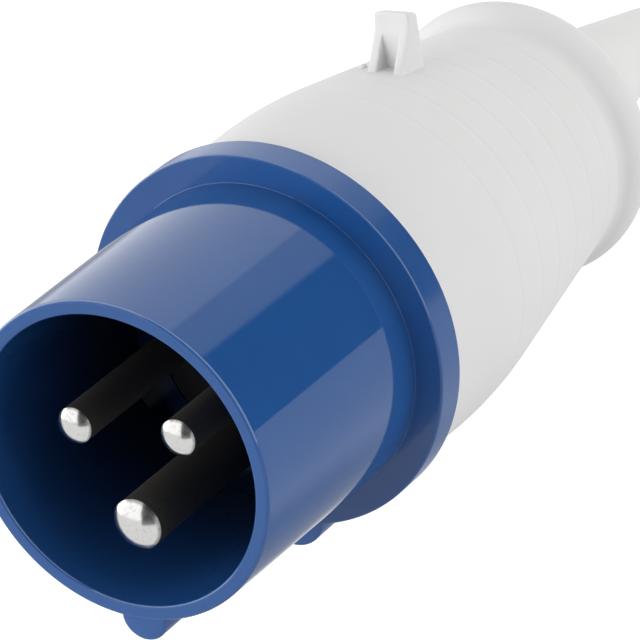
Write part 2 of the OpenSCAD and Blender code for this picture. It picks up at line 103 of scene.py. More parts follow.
class Graph:
    """Adds nodes to one node tree and links them."""

    def __init__(self, tree: bpy.types.NodeTree) -> None:
        """Start from an empty tree, of a material or of the world."""
        self.tree = tree
        tree.nodes.clear()

    def add(self, kind: str, settings: dict | None = None, *values: object,
            **inputs: object) -> bpy.types.Node:
        """Add one node.

        Args:
            kind: Type name of the node.
            settings: Properties of the node itself.
            values: Values or output sockets of the first inputs, in their order.
            inputs: Values or output sockets by input name, with spaces written as underscores.

        Returns:
            The new node.
        """
        node = self.tree.nodes.new(kind)
        for key, value in (settings or {}).items():
            setattr(node, key, value)
        named = [(node.inputs[key.replace("_", " ")], value) for key, value in inputs.items()]
        for socket, value in [*zip(node.inputs, values), *named]:
            if isinstance(value, bpy.types.NodeSocket):
                self.tree.links.new(value, socket)
            else:
                socket.default_value = value
        return node

    def math(self, operation: str, first: object, second: object = 0.0) -> bpy.types.NodeSocket:
        """Combine two numbers or output sockets by the named operation."""
        return self.add("ShaderNodeMath", {"operation": operation}, first, second).outputs[0]

    def measure(self, operation: str, place: bpy.types.NodeSocket, other: object) -> bpy.types.NodeSocket:
        """Number from two vectors: DOT_PRODUCT or DISTANCE."""
        return self.add("ShaderNodeVectorMath", {"operation": operation}, place, other).outputs["Value"]

    def scale(self, colour: bpy.types.NodeSocket, share: bpy.types.NodeSocket) -> bpy.types.NodeSocket:
        """Darken a colour to a share of it."""
        return self.add("ShaderNodeVectorMath", {"operation": "SCALE"}, colour, Scale=share).outputs[0]

    def noise(self, place: bpy.types.NodeSocket, size: float, detail: float) -> bpy.types.NodeSocket:
        """Even noise from 0 to 1, with blots of a size in millimetres and a number of finer layers."""
        node = self.add("ShaderNodeTexNoise", Vector=place, Scale=1 / (size * MM), Detail=detail)
        return node.outputs[0]

    def spread(self, value: bpy.types.NodeSocket, source: Point, target: Point,
               smooth: bool = False) -> bpy.types.NodeSocket:
        """Map a range of numbers onto another.

        Args:
            value: Number to map.
            source: Ends of the range that is read.
            target: Ends of the range that is written.
            smooth: Ease in and out at the ends.

        Returns:
            The mapped number's output socket.
        """
        kind = {"interpolation_type": "SMOOTHSTEP" if smooth else "LINEAR"}
        node = self.add("ShaderNodeMapRange", kind, Value=value, From_Min=source[0], From_Max=source[1],
                        To_Min=target[0], To_Max=target[1])
        return node.outputs[0]

    def tones(self, value: bpy.types.NodeSocket, stops: list[tuple[float, Colour]]) -> bpy.types.NodeSocket:
        """Turn a number into a colour.

        Args:
            value: Number from 0 to 1.
            stops: Places from 0 to 1 with the colour at each.

        Returns:
            The colour's output socket.
        """
        node = self.add("ShaderNodeValToRGB", Fac=value)
        ramp = node.color_ramp
        while len(ramp.elements) < len(stops):
            ramp.elements.new(0.5)
        for element, (place, colour) in zip(ramp.elements, stops):
            element.position = place
            element.color = (*colour, 1.0)
        return node.outputs[0]

    def levels(self, value: bpy.types.NodeSocket, *stops: Point) -> bpy.types.NodeSocket:
        """Turn a number from 0 to 1 into another, by places with the new number at each."""
        return self.tones(value, [(place, (level,) * 3) for place, level in stops])


def new_graph(name: str) -> tuple[bpy.types.Material, Graph, bpy.types.NodeSocket]:
    """Start a material.

    Args:
        name: Name of the material.

    Returns:
        The material, its graph and the object's own coordinates.
    """
    material = bpy.data.materials.new(name)
    material.use_nodes = True
    graph = Graph(material.node_tree)
    place = graph.add("ShaderNodeTexCoord").outputs["Object"]
    return material, graph, place


@dataclass(frozen=True)
class Moulding:
    """Moulded plastic or rubber with faint flow marks, a fine grain and uneven gloss.

    A hollow is the radius of a bore along Y whose wall gets a painted shade that deepens with its
    depth, standing in for the shade inside the cavity. Behind the depth where it turns matte, the
    gloss is softer.
    """

    name: str
    shade: Colour
    tint: Colour
    gloss: Point
    flow: float = 14.0
    flow_share: float = 0.7
    patches: float = 5.0
    grain: float = 0.35
    relief: float = 0.004
    wave: float = 9.0
    wave_relief: float = 0.0
    sheen: float = 0.5
    hollow: float = 0.0
    hollow_edge: Point = (0.05, 0.15)
    hollow_depth: Point = (3.0, 34.0)
    hollow_shade: float = 0.15
    matte_from: float | None = None
    matte_edge: float = 0.1
    matte: float = 0.16

    def material(self) -> bpy.types.Material:
        """Make the node material.

        Returns:
            The material.
        """
        material, graph, place = new_graph(self.name)
        flow = graph.noise(place, self.flow, detail=3.0)
        patch = graph.noise(place, self.flow / self.patches, detail=4.0)
        mottle = graph.math("ADD", graph.math("MULTIPLY", flow, self.flow_share),
                            graph.math("MULTIPLY", patch, 1 - self.flow_share))
        colour = graph.tones(mottle, list(zip(NOISE_SPAN, (self.shade, self.tint))))
        # Painted shade: the bore's wall darkens with depth, standing in for the shade deep in the cavity.
        if self.hollow:
            colour = graph.scale(colour, self.painted_cavity_shade(graph, place))
        rough = graph.spread(patch, NOISE_SPAN, self.gloss)
        if self.matte_from is not None:
            depth = graph.add("ShaderNodeSeparateXYZ", Vector=place).outputs["Y"]
            edge = (self.matte_from * MM, (self.matte_from + self.matte_edge) * MM)
            rough = graph.math("ADD", rough, graph.spread(depth, edge, (0.0, self.matte)))
        fine = graph.noise(place, self.grain, detail=2.0)
        broad = graph.noise(place, self.wave, detail=1.0)
        swell = graph.add("ShaderNodeBump", Strength=1.0, Distance=self.wave_relief * MM, Height=broad)
        bump = graph.add("ShaderNodeBump", Strength=1.0, Distance=self.relief * MM, Height=fine,
                         Normal=swell.outputs[0])
        shader = graph.add("ShaderNodeBsdfPrincipled", Base_Color=colour, Roughness=rough, IOR=1.5,
                           Specular_IOR_Level=self.sheen, Normal=bump.outputs[0])
        graph.add("ShaderNodeOutputMaterial", Surface=shader.outputs[0])
        return material

    def painted_cavity_shade(self, graph: Graph, place: bpy.types.NodeSocket) -> bpy.types.NodeSocket:
        """Share of the colour that is left on the hollow's wall under its painted shade.

        Args:
            graph: Graph of the material.
            place: The object's own coordinates.

        Returns:
            Number from 1 at the mouth and outside to the hollow's shade at its floor.
        """
        parts = graph.add("ShaderNodeSeparateXYZ", Vector=place).outputs
        across, up = (graph.math("POWER", parts[axis], 2.0) for axis in "XZ")
        radius = graph.math("SQRT", graph.math("ADD", across, up))
        near, far = ((self.hollow + edge) * MM for edge in self.hollow_edge)
        inside = graph.spread(radius, (near, far), (1.0, 0.0))
        start, end = self.hollow_depth
        depth = graph.spread(parts["Y"], (start * MM, end * MM), (0.0, 1.0 - self.hollow_shade), smooth=True)
        return graph.math("SUBTRACT", 1.0, graph.math("MULTIPLY", inside, depth))


@dataclass(frozen=True)
class Plating:
    """Bright plated metal with turning marks and clouds.

    The painted facing shade gives faces that do not face the mouth a dull tone, with a dark edge
    before it, as painted shade and painted reflection of the dark cavity. Its edge gives how far
    forward a face points at the shank's tone, the dark edge's two ends and the bright tip.
    """

    name: str
    bright: Colour
    gloss: Point
    cloud: float = 1.6
    ring: float = 0.28
    relief: float = 0.0015
    painted_facing_shade: bool = False
    painted_shank_shade: Colour = (0.0, 0.0, 0.0)
    facing_shade_edge: tuple[float, float, float, float] = (0.35, 0.50, 0.785, 0.835)
    facing_shade_metal: float = 0.25
    facing_shade_haze: Point = (0.2, 0.6)
    facing_shade_mottle: float = 0.006
    painted_edge_shade: float = 0.004
    fleck: float = 0.4
    fleck_span: Point = (0.34, 0.47)
    fleck_share: Point = (0.85, 1.0)
    sheen: float = 0.2

    def material(self) -> bpy.types.Material:
        """Make the node material.

        Returns:
            The material.
        """
        material, graph, place = new_graph(self.name)
        cloud = graph.noise(place, self.cloud, detail=4.0)
        rough = graph.spread(cloud, NOISE_SPAN, self.gloss)
        colour, metal = (*self.bright, 1.0), 1.0
        # Painted shade and painted reflection: the shank's dull tone and the black edge, chosen by facing,
        # stand in for the dark cavity mirrored in the metal.
        if self.painted_facing_shade:
            facing = graph.add("ShaderNodeTexCoord").outputs["Normal"]
            back = graph.add("ShaderNodeSeparateXYZ", Vector=facing).outputs["Y"]
            mottle = graph.spread(cloud, NOISE_SPAN, (-self.facing_shade_mottle, self.facing_shade_mottle))
            forward = graph.math("ADD", graph.math("MULTIPLY", back, -1.0), mottle)
            shank, dark, lit, tip = self.facing_shade_edge
            edge = (self.painted_edge_shade,) * 3
            colour = graph.tones(forward, [(shank, self.painted_shank_shade), (dark, edge), (lit, edge), (tip, self.bright)])
            fleck = graph.noise(place, self.fleck, detail=3.0)
            colour = graph.scale(colour, graph.spread(fleck, self.fleck_span, self.fleck_share))
            metal = graph.levels(forward, (shank, self.facing_shade_metal), (dark, 0.0), (lit, 1.0))
            haze, dark_haze = self.facing_shade_haze
            haze = graph.levels(forward, (shank, haze), (dark, dark_haze), (lit, 0.0))
            rough = graph.math("ADD", rough, haze)
        marks = graph.add("ShaderNodeTexWave", {"bands_direction": "Y"}, Vector=place,
                          Scale=1 / (self.ring * MM * WAVE_BANDS), Distortion=2.0, Detail=2.0)
        bump = graph.add("ShaderNodeBump", Strength=1.0, Distance=self.relief * MM,
                         Height=marks.outputs["Fac"])
        shader = graph.add("ShaderNodeBsdfPrincipled", Base_Color=colour, Roughness=rough, Metallic=metal,
                           Specular_IOR_Level=self.sheen, Normal=bump.outputs[0])
        graph.add("ShaderNodeOutputMaterial", Surface=shader.outputs[0])
        return material


BLUE = Moulding("glossy_blue_moulding", shade=(0.0150, 0.0735, 0.244), tint=(0.0170, 0.0815, 0.266),
                gloss=(0.05, 0.08), relief=0.0006, wave_relief=0.005, hollow=20.0, matte_from=36.6)
PALE = Moulding("satin_pale_moulding", shade=(0.672, 0.672, 0.669), tint=(0.692, 0.692, 0.689),
                gloss=(0.5, 0.6), relief=0.004, wave_relief=0.01, sheen=0.12)
SOFT = Moulding("soft_pale_rubber", shade=(0.69, 0.69, 0.685), tint=(0.72, 0.72, 0.715),
                gloss=(0.55, 0.65), relief=0.008, wave_relief=0.01, sheen=0.12)
BLACK = Moulding("black_insulator_moulding", shade=(0.014, 0.014, 0.017), tint=(0.019, 0.019, 0.023),
                 gloss=(0.4, 0.5), relief=0.004, sheen=0.25)
RUBBER = Moulding("black_seal_rubber", shade=(0.010, 0.010, 0.010), tint=(0.016, 0.016, 0.016),
                  gloss=(0.55, 0.7), relief=0.01)
# The nickel's shanks get a painted shade by facing, so only the tips show the bright metal.
NICKEL = Plating("bright_nickel_plating", bright=(0.735, 0.73, 0.72), painted_shank_shade=(0.075, 0.070, 0.062),
                 gloss=(0.12, 0.20), painted_facing_shade=True, sheen=0.0)
STEEL = Plating("zinc_plated_steel", bright=(0.62, 0.61, 0.58), gloss=(0.22, 0.34))


@dataclass
class Outline:
    """Half section of a turned form, as radius and depth along the axis.

    Straight runs get a point close to each end, so that smooth shading stays flat between
    roundings.
    """

    points: list[Point] = field(default_factory=list)
    hold: float = 0.12
    most: float = 0.25

    def at(self, radius: float, depth: float) -> "Outline":
        """Add one point."""
        self.points.append((radius, depth))
        return self

    def line(self, radius: float, depth: float, step: float = 2.5) -> "Outline":
        """Add a straight run from the last point.

        Args:
            radius: Radius at the end of the run.
            depth: Depth at the end of the run.
            step: Longest distance between points.

        Returns:
            This outline.
        """
        start = np.array(self.points[-1])
        end = np.array((radius, depth))
        length = float(np.linalg.norm(end - start))
        share = min(self.hold / length, self.most) if length > 0 else 0.0
        inner = np.linspace(share, 1 - share, max(2, math.ceil(length / step) + 1))
        for part in [*inner, 1.0]:
            self.points.append(tuple(start + (end - start) * part))
        return self

    def arc(self, centre: Point, radius: float, start: float, end: float, step: float = 10.0) -> "Outline":
        """Add a round stretch.

        Args:
            centre: Centre of the arc, as radius and depth.
            radius: Radius of the arc.
            start: Start angle in degrees, where 0 points outwards and 90 along +Y.
            end: End angle in degrees.
            step: Largest angle between points.

        Returns:
            This outline.
        """
        count = max(2, math.ceil(abs(end - start) / step) + 1)
        for angle in np.radians(np.linspace(start, end, count)):
            self.points.append((centre[0] + radius * math.cos(angle), centre[1] + radius * math.sin(angle)))
        return self


def full_turn(step: float) -> np.ndarray:
    """Angles all round in even steps of degrees."""
    return np.arange(0.0, 360.0, step)


def turns_with(fine: Triple, edges: list[float], coarse: float = 1.5,
               close: float = 0.04) -> np.ndarray:
    """Choose the angles of a turned form's columns.

    Args:
        fine: Stretch with smaller steps, as start, end and step in degrees.
        edges: Angles where a relief begins or ends.
        coarse: Step of all other angles.
        close: Distance of the two columns beside an edge from it.

    Returns:
        Sorted angles in degrees, from 0 to below 360.
    """
    start, end, step = fine
    angles = [*full_turn(coarse), *np.arange(start, end + step / 2, step) % 360]
    for edge in edges:
        angles += [(edge - close) % 360, (edge + close) % 360]
    return np.unique(np.round(angles, 3))


@dataclass
class TurnedForm:
    """Closed surface turned about an axis along Y, with an optional relief that varies with the turn."""

    outline: Outline
    turns: np.ndarray
    axis: Point = (0.0, 0.0)
    relief: Relief | None = None
    capped: bool = False

    def mesh(self, name: str) -> bpy.types.Mesh:
        """Build the mesh.

        Args:
            name: Name of the mesh.

        Returns:
            The mesh in metres, with outward faces.
        """
        radius, depth = (np.array(column)[:, None] for column in zip(*self.outline.points))
        turn = self.turns[None, :]
        radius = np.broadcast_to(radius, (len(radius), turn.shape[1]))
        depth = np.broadcast_to(depth, radius.shape)
        if self.relief is not None:
            radius = self.relief(radius, depth, np.broadcast_to(turn, radius.shape))
        angle = np.radians(turn)
        place = np.stack([self.axis[0] + radius * np.sin(angle), depth,
                          self.axis[1] + radius * np.cos(angle)], axis=-1)
        rows, columns = radius.shape
        ends = rows - 1 if self.capped else rows
        index = np.arange(rows * columns).reshape(rows, columns)
        below = index[:ends]
        above = np.roll(index, -1, axis=0)[:ends]
        quads = np.stack([below, np.roll(below, -1, axis=1), np.roll(above, -1, axis=1), above], axis=-1)
        mesh = bpy.data.meshes.new(name)
        mesh.from_pydata((place.reshape(-1, 3) * MM).tolist(), [], quads.reshape(-1, 4).tolist())
        tidy_mesh(mesh)
        return mesh

    def piece(self, name: str) -> bpy.types.Object:
        """Build the form as an object of that name."""
        return new_piece(name, self.mesh(name))


def tidy_mesh(mesh: bpy.types.Mesh, sharp: float = 32.0) -> None:
    """Weld a mesh, turn its faces outwards and smooth it between sharp edges.

    Args:
        mesh: Mesh to tidy.
        sharp: Angle in degrees above which an edge stays sharp.
    """
    form = bmesh.new()
    form.from_mesh(mesh)
    bmesh.ops.remove_doubles(form, verts=form.verts, dist=WELD * MM)
    bmesh.ops.dissolve_degenerate(form, edges=form.edges, dist=SLIVER * MM)
    bmesh.ops.recalc_face_normals(form, faces=form.faces)
    form.to_mesh(mesh)
    form.free()
    mesh.shade_smooth()
    mesh.set_sharp_from_angle(angle=math.radians(sharp))


def new_piece(name: str, mesh: bpy.types.Mesh) -> bpy.types.Object:
    """Put a mesh into the scene as an object at the origin.

    Args:
        name: Name of the object.
        mesh: Mesh in metres.

    Returns:
        The new object.
    """
    piece = bpy.data.objects.new(name, mesh)
    bpy.context.scene.collection.objects.link(piece)
    return piece


def combine(target: bpy.types.Object, tool: bpy.types.Object, operation: str) -> None:
    """Join another object to a piece, or cut it away, and delete the other.

    Args:
        target: Piece that keeps the result.
        tool: Object that is used up.
        operation: UNION or DIFFERENCE.
    """
    modifier = target.modifiers.new("combine", "BOOLEAN")
    modifier.operation = operation
    modifier.solver = "EXACT"
    modifier.object = tool
    bpy.context.view_layer.update()
    evaluated = target.evaluated_get(bpy.context.evaluated_depsgraph_get())
    mesh = bpy.data.meshes.new_from_object(evaluated)
    target.modifiers.clear()
    target.data = mesh
    bpy.data.objects.remove(tool)
    tidy_mesh(mesh)


def dress(piece: bpy.types.Object, material: bpy.types.Material) -> None:
    """Give a piece one finish."""
    piece.data.materials.clear()
    piece.data.materials.append(material)


def place_piece(piece: bpy.types.Object, node: str, body: Body,
                material: bpy.types.Material) -> None:
    """Let a finer mesh stand for a node.

    Args:
        piece: Finer mesh, in the node's place.
        node: Node that it replaces.
        body: Body that it moves with.
        material: Finish.
    """
    dress(piece, material)
    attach(piece, body.value)
    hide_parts(node)
    LOG.info("%s stands for %s: %d faces", piece.name, node, len(piece.data.polygons))


def turn_gap(turn: np.ndarray, centre: float) -> np.ndarray:
    """Signed angle in degrees from a centre, from -180 to 180."""
    return (turn - centre + 180.0) % 360.0 - 180.0


@dataclass
class TwistLock:
    """Bayonet between the front moulding and the grip."""

    places: Triple = (60.0, 180.0, 300.0)
    depth: float = 46.0
    thickness: float = 3.0
    width: float = 16.0
    height: float = 1.0
    spigot: float = 20.9
    end: float = 53.0
    gap: float = 0.3
    twist: float = 30.0
    play: float = 1.5

    @property
    def socket(self) -> float:
        """Radius of the grip's socket."""
        return self.spigot + self.gap

    @property
    def slot(self) -> float:
        """Radius of the bayonet ways."""
        return self.socket + self.height

    def lug_edges(self) -> list[float]:
        """Angles of the lugs' sides."""
        return [place + side * self.width / 2 for place in self.places for side in (-1, 1)]

    def way_edges(self) -> list[float]:
        """Angles of the ways' sides."""
        half = self.width / 2 + self.play
        return [place + edge for place in self.places
                for edge in (half, -half - self.twist, half - self.twist)]


@dataclass
class FrontMoulding:
    """Sleeve with its key rib, flange with its round nose, and the spigot that enters the grip."""

    lock: TwistLock
    mouth: float = 20.0
    sleeve: float = 22.0
    root: float = 22.45
    floor: float = 36.4
    lip: float = 0.45
    root_round: float = 0.06
    flange: float = 26.35
    flange_round: float = 0.3
    flange_back: float = 41.2
    ledge: float = 16.9
    ledge_back: float = 38.4
    bore: float = 19.4
    key_front: float = 0.2
    key_half: float = 3.3
    key_drop: float = 21.8
    key_span: float = 0.4
    key_draft: float = 0.006
    key_back: float = 0.1
    nose: float = 4.8
    nose_drop: float = 24.8
    nose_span: float = 0.3
    fine_turns: Triple = (166.0, 194.0, 0.25)

    def outline(self) -> Outline:
        """Half section, from the cavity's floor round the outside to the bore.

        Returns:
            The closed outline.
        """
        lip, edge, lock = self.lip, self.flange_round, self.lock
        fillet = (self.root + self.root_round, self.floor - self.root_round)
        section = Outline().at(self.mouth, self.floor).line(self.mouth, lip)
        section.arc((self.mouth + lip, lip), lip, 180, 270, step=9)
        section.line(self.sleeve - lip, 0.0, step=0.5)
        section.arc((self.sleeve - lip, lip), lip, -90, 0, step=4.5)
        section.line(self.sleeve + self.key_draft, lip + self.key_front + self.key_back, step=0.03)
        section.line(self.root, fillet[1])
        section.arc(fillet, self.root_round, 180, 90, step=30)
        section.line(self.flange - edge, self.floor, step=0.6)
        section.arc((self.flange - edge, self.floor + edge), edge, -90, 0)
        section.line(self.flange, self.flange_back - edge / 2)
        section.arc((self.flange - edge / 2, self.flange_back - edge / 2), edge / 2, 0, 90)
        section.line(lock.spigot, self.flange_back)
        near, far = lock.depth, lock.depth + lock.thickness
        for depth in (near - SLIT, near + SLIT, far - SLIT, far + SLIT):
            section.at(lock.spigot, depth)
        section.line(lock.spigot, lock.end).line(self.bore, lock.end)
        section.line(self.bore, self.ledge_back).line(self.ledge, self.ledge_back)
        section.line(self.ledge, self.floor).line(self.mouth, self.floor)
        section.points.pop()
        return section

    def key_reach(self, off: np.ndarray, depth: np.ndarray) -> np.ndarray:
        """Distance from the axis to the key rib's outline.

        Args:
            off: Angle from straight down, in radians.
            depth: Depth, which tells how much of the rounded front edge is left.

        Returns:
            The distance along that angle, or 0 in front of the rib and beside it.
        """
        left = np.clip(self.lip + self.key_front - depth, 0.0, self.lip)
        half = self.key_half - self.lip + np.sqrt(self.lip ** 2 - left ** 2)
        side = np.maximum(np.abs(np.sin(off)), TINY)
        down = np.cos(off)
        crest = self.key_drop * down + np.sqrt(np.maximum(half ** 2 - (self.key_drop * side) ** 2, 0.0))
        reach = np.where(crest * down > self.key_drop, crest, half / side)
        return np.where((np.abs(off) > self.key_span) | (depth < self.key_front), 0.0, reach)

    def relief(self, radius: np.ndarray, depth: np.ndarray, turn: np.ndarray) -> np.ndarray:
        """Raise the key rib, the nose and the lugs out of the turned form.

        Args:
            radius: Radius of each point.
            depth: Depth of each point.
            turn: Turn of each point in degrees.

        Returns:
            The new radius of each point.
        """
        off = np.radians(turn_gap(turn, 180.0))
        key = self.key_reach(off, depth)
        on_sleeve = (radius > self.sleeve - self.lip) & (depth < self.floor - NEAR)
        radius = np.where(on_sleeve, np.maximum(radius, key), radius)
        inside = np.maximum(self.nose ** 2 - (self.nose_drop * np.sin(off)) ** 2, 0.0)
        nose = self.nose_drop * np.cos(off) + np.sqrt(inside)
        swell = np.where(np.abs(off) < self.nose_span, np.maximum(nose - self.flange, 0.0), 0.0)
        on_rim = (radius > self.flange - self.flange_round - NEAR) & (depth > self.floor - NEAR)
        radius = np.where(on_rim, radius + swell, radius)
        lock = self.lock
        middle = lock.depth + lock.thickness / 2
        on_lug = (np.abs(depth - middle) < lock.thickness / 2) & (np.abs(radius - lock.spigot) < NEAR)
        near = np.any([np.abs(turn_gap(turn, place)) < lock.width / 2 for place in lock.places], axis=0)
        return np.where(on_lug & near, radius + lock.height, radius)

    def build(self) -> None:
        """Build the moulding and dress it."""
        flank = math.degrees(math.asin(self.key_half / self.sleeve))
        edges = [*self.lock.lug_edges(), 180 - flank, 180 + flank]
        turns = turns_with(self.fine_turns, edges)
        piece = TurnedForm(self.outline(), turns, relief=self.relief).piece("front_moulding")
        place_piece(piece, "front_shell", Body.FRONT, BLUE.material())


@dataclass
class ContactPin:
    """One turned contact pin with a domed tip and a barrel for its wire."""

    node: str
    shank: float
    barrel: float
    seat: float = 0.2
    dome: float = 1.6
    solid_dome: float = 1.3
    drop: float = 1.1
    wire: float = 2.1
    face: float = 36.5
    collar: float = 4.55
    wire_floor: float = 47.65
    screw_depth: float = 53.95
    screw: float = 1.95
    sides: int = 96
    hole_sides: int = 48

    def outline(self, tip: float, back: float) -> Outline:
        """Half section from the tip to the bottom of the wire hole.

        Args:
            tip: Depth of the tip.
            back: Depth of the barrel's end.

        Returns:
            The open outline, with both ends on the axis.
        """
        dome = self.shank * self.dome
        rim = math.degrees(math.acos(self.shank / dome))
        tip += self.shank * (self.cap(self.solid_dome) - self.cap(self.dome))
        shoulder = self.face + self.collar
        section = Outline(hold=0.06).arc((0.0, tip + dome), dome, -90, -rim, step=4)
        section.line(self.shank, self.face).line(self.shank + self.seat, self.face)
        section.line(self.shank + self.seat, shoulder).line(self.barrel, shoulder)
        section.line(self.barrel, back).line(self.wire, back)
        section.line(self.wire, self.wire_floor).line(0.0, self.wire_floor)
        return section

    @staticmethod
    def cap(dome: float) -> float:
        """Height of a domed tip for a shank of radius 1."""
        return dome - math.sqrt(dome ** 2 - 1)

    def build(self, material: bpy.types.Material) -> None:
        """Build the pin where its node is.

        Args:
            material: Finish of the pin.
        """
        low, high = (np.array(corner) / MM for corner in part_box(self.node))
        axis = ((low[0] + high[0]) / 2, (low[2] + high[2]) / 2)
        form = TurnedForm(self.outline(low[1], high[1]), full_turn(360.0 / self.sides), axis, capped=True)
        piece = form.piece(self.node.replace("_pin", "_contact_pin"))
        combine(piece, self.screw_hole(axis), "DIFFERENCE")
        place_piece(piece, self.node, Body.FRONT, material)

    def screw_hole(self, axis: Point) -> bpy.types.Object:
        """Make the form of the screw hole that leads outwards from the pin's axis.

        Args:
            axis: Place of the pin's axis, across and up.

        Returns:
            A round bar to cut with.
        """
        bar = Outline().at(0.0, 0.0).line(self.screw, 0.0)
        bar.line(self.screw, 2 * self.barrel).line(0.0, 2 * self.barrel)
        piece = TurnedForm(bar, full_turn(360.0 / self.hole_sides), capped=True).piece("screw_hole")
        outwards = Vector((axis[0], 0.0, axis[1] + self.drop)).normalized()
        place = Matrix.Translation(Vector((axis[0], self.screw_depth, axis[1])) * MM)
        piece.data.transform(place @ outwards.to_track_quat("Y", "Z").to_matrix().to_4x4())
        return piece


@dataclass
class RearGrip:
    """Pale grip with ring lines, a bulge, a retaining hook and the bayonet ways."""

    lock: TwistLock
    front: float = 41.5
    front_radius: float = 24.7
    front_round: float = 0.4
    crest: float = 56.0
    crest_radius: float = 25.0
    waist: float = 100.9
    waist_radius: float = 18.95
    waist_round: float = 4.0
    fall_bend: float = 0.3
    bulge: float = 106.1
    bulge_core: float = 15.1
    bulge_round: float = 5.4
    wall: float = 2.6
    tail_bore: float = 15.7
    tail_floor: float = 107.0
    entry: float = 11.7
    seal_in: float = 22.8
    seal_out: float = 24.1
    seal_floor: float = 43.0
    line_count: int = 6
    line_first: float = 0.118
    line_pitch: float = 0.157
    line_depth: float = 0.045
    line_width: float = 1.0
    line_clear: float = 0.15
    line_points: int = 9
    point_start: float = 0.3
    point_gap: float = 0.8
    tail_slope: Point = (1.0, 4.0)
    inner_ends: Point = (8.0, 6.0)
    inner_gap: float = 3.0
    fine_turns: Triple = (-18.0, 18.0, 0.5)
    hook_across: float = 1.2
    hook_front: float = 72.8
    hook_length: float = 6.2
    hook_wall: float = 2.5
    hook_face: float = 2.0
    hook_rib: float = 1.3
    hook_width: float = 5.3
    hook_height: float = 30.6
    hook_fall: float = 0.7
    hook_round: float = 0.6
    hook_sink: float = 1.0
    hook_flare: float = 0.1
    hook_flare_rise: Point = (1.3, 0.8)
    hook_bend: float = 0.16
    hook_reach: float = -0.2
    hook_crown: int = 6
    hook_corners: tuple[float, float, float, float] = (0.3, 0.55, 0.55, 0.5)
    hook_levels: tuple[tuple[float, float, int], ...] = ((0.0, 0.3, 10), (0.33, 0.92, 24), (0.93, 0.999, 9))
    pocket: float = 3.0
    pocket_least: float = 0.004
    pocket_corner: Point = (0.3, 0.4)
    pip: float = 0.55
    pip_across: float = -3.95
    pip_sides: int = 36

    @property
    def back(self) -> float:
        """Depth of the grip's back."""
        return self.bulge + self.bulge_round

    def radius_at(self, depth: float) -> float:
        """Outside radius of the grip without its ring lines.

        Args:
            depth: Depth, up to the waist.

        Returns:
            The radius.
        """
        if depth <= self.crest:
            share = (depth - self.front) / (self.crest - self.front)
            return self.front_radius + (self.crest_radius - self.front_radius) * share
        share = min((depth - self.crest) / (self.waist - self.crest), 1.0)
        bend = self.fall_bend
        fall = share * share / (2 * bend) if share < bend else share - bend / 2
        return self.crest_radius - (self.crest_radius - self.waist_radius) * fall / (1 - bend / 2)

    def line_depths(self) -> list[float]:
        """Depths of the ring lines."""
        span = self.waist - self.crest
        return [self.crest + span * (self.line_first + self.line_pitch * count)
                for count in range(self.line_count)]

    def outline(self) -> Outline:
        """Half section, from the socket's rim over the outside to the hollow.

        Returns:
            The closed outline.
        """
        lock = self.lock
        section = Outline().at(lock.socket, self.front).line(self.seal_in, self.front)
        section.line(self.seal_in, self.seal_floor).line(self.seal_out, self.seal_floor)
        section.line(self.seal_out, self.front)
        edge = self.front_round
        section.arc((self.front_radius - edge, self.front + edge), edge, -90, 0, step=15)
        half = self.line_width / 2
        depths = np.arange(self.front + edge + self.point_start, self.waist, self.point_gap)
        lines = self.line_depths()
        depths = [d for d in depths if all(abs(d - line) > half + self.line_clear for line in lines)]
        depths += [line + half * share for line in lines for share in np.linspace(-1, 1, self.line_points)]
        for depth in sorted(depths):
            dip = sum(0.5 + 0.5 * math.cos(math.pi * min(abs(depth - line) / half, 1.0)) for line in lines)
            section.at(self.radius_at(depth) - self.line_depth * dip, depth)
        hollow = (self.waist_radius + self.waist_round, self.waist)
        lean = math.degrees(math.atan2(self.bulge - self.waist, hollow[0] - self.bulge_core))
        section.arc(hollow, self.waist_round, 180, 180 - lean, step=4)
        section.arc((self.bulge_core, self.bulge), self.bulge_round, -lean, 90, step=5)
        section.line(self.entry, self.back).line(self.entry, self.tail_floor)
        start, end = (self.waist - slope for slope in self.tail_slope)
        section.line(self.tail_bore, self.tail_floor).line(self.tail_bore, start)
        section.line(self.waist_radius - self.wall, end)
        start, end = self.inner_ends
        for depth in np.arange(self.waist - start, self.crest + end, -self.inner_gap):
            section.at(min(lock.socket, self.radius_at(depth) - self.wall), depth)
        near, far = lock.depth - lock.gap, lock.depth + lock.thickness + lock.gap
        section.line(lock.socket, far + SLIT).at(lock.socket, far - SLIT)
        section.line(lock.socket, near + SLIT).at(lock.socket, near - SLIT)
        section.line(lock.socket, self.front + SLIT)
        return section

    def relief(self, radius: np.ndarray, depth: np.ndarray, turn: np.ndarray) -> np.ndarray:
        """Sink the bayonet ways.

        Args:
            radius: Radius of each point.
            depth: Depth of each point.
            turn: Turn of each point in degrees.

        Returns:
            The new radius of each point.
        """
        lock = self.lock
        half = lock.width / 2 + lock.play
        near, far = lock.depth - lock.gap, lock.depth + lock.thickness + lock.gap
        on_socket = (np.abs(radius - lock.socket) < NEAR) & (depth < far)
        sunk = np.zeros(radius.shape, bool)
        for place in lock.places:
            off = turn_gap(turn, place - lock.twist / 2)
            sunk |= (np.abs(off) < half + lock.twist / 2) & (depth > near)
            sunk |= np.abs(turn_gap(turn, place - lock.twist)) < half
        return np.where(on_socket & sunk, lock.slot, radius)

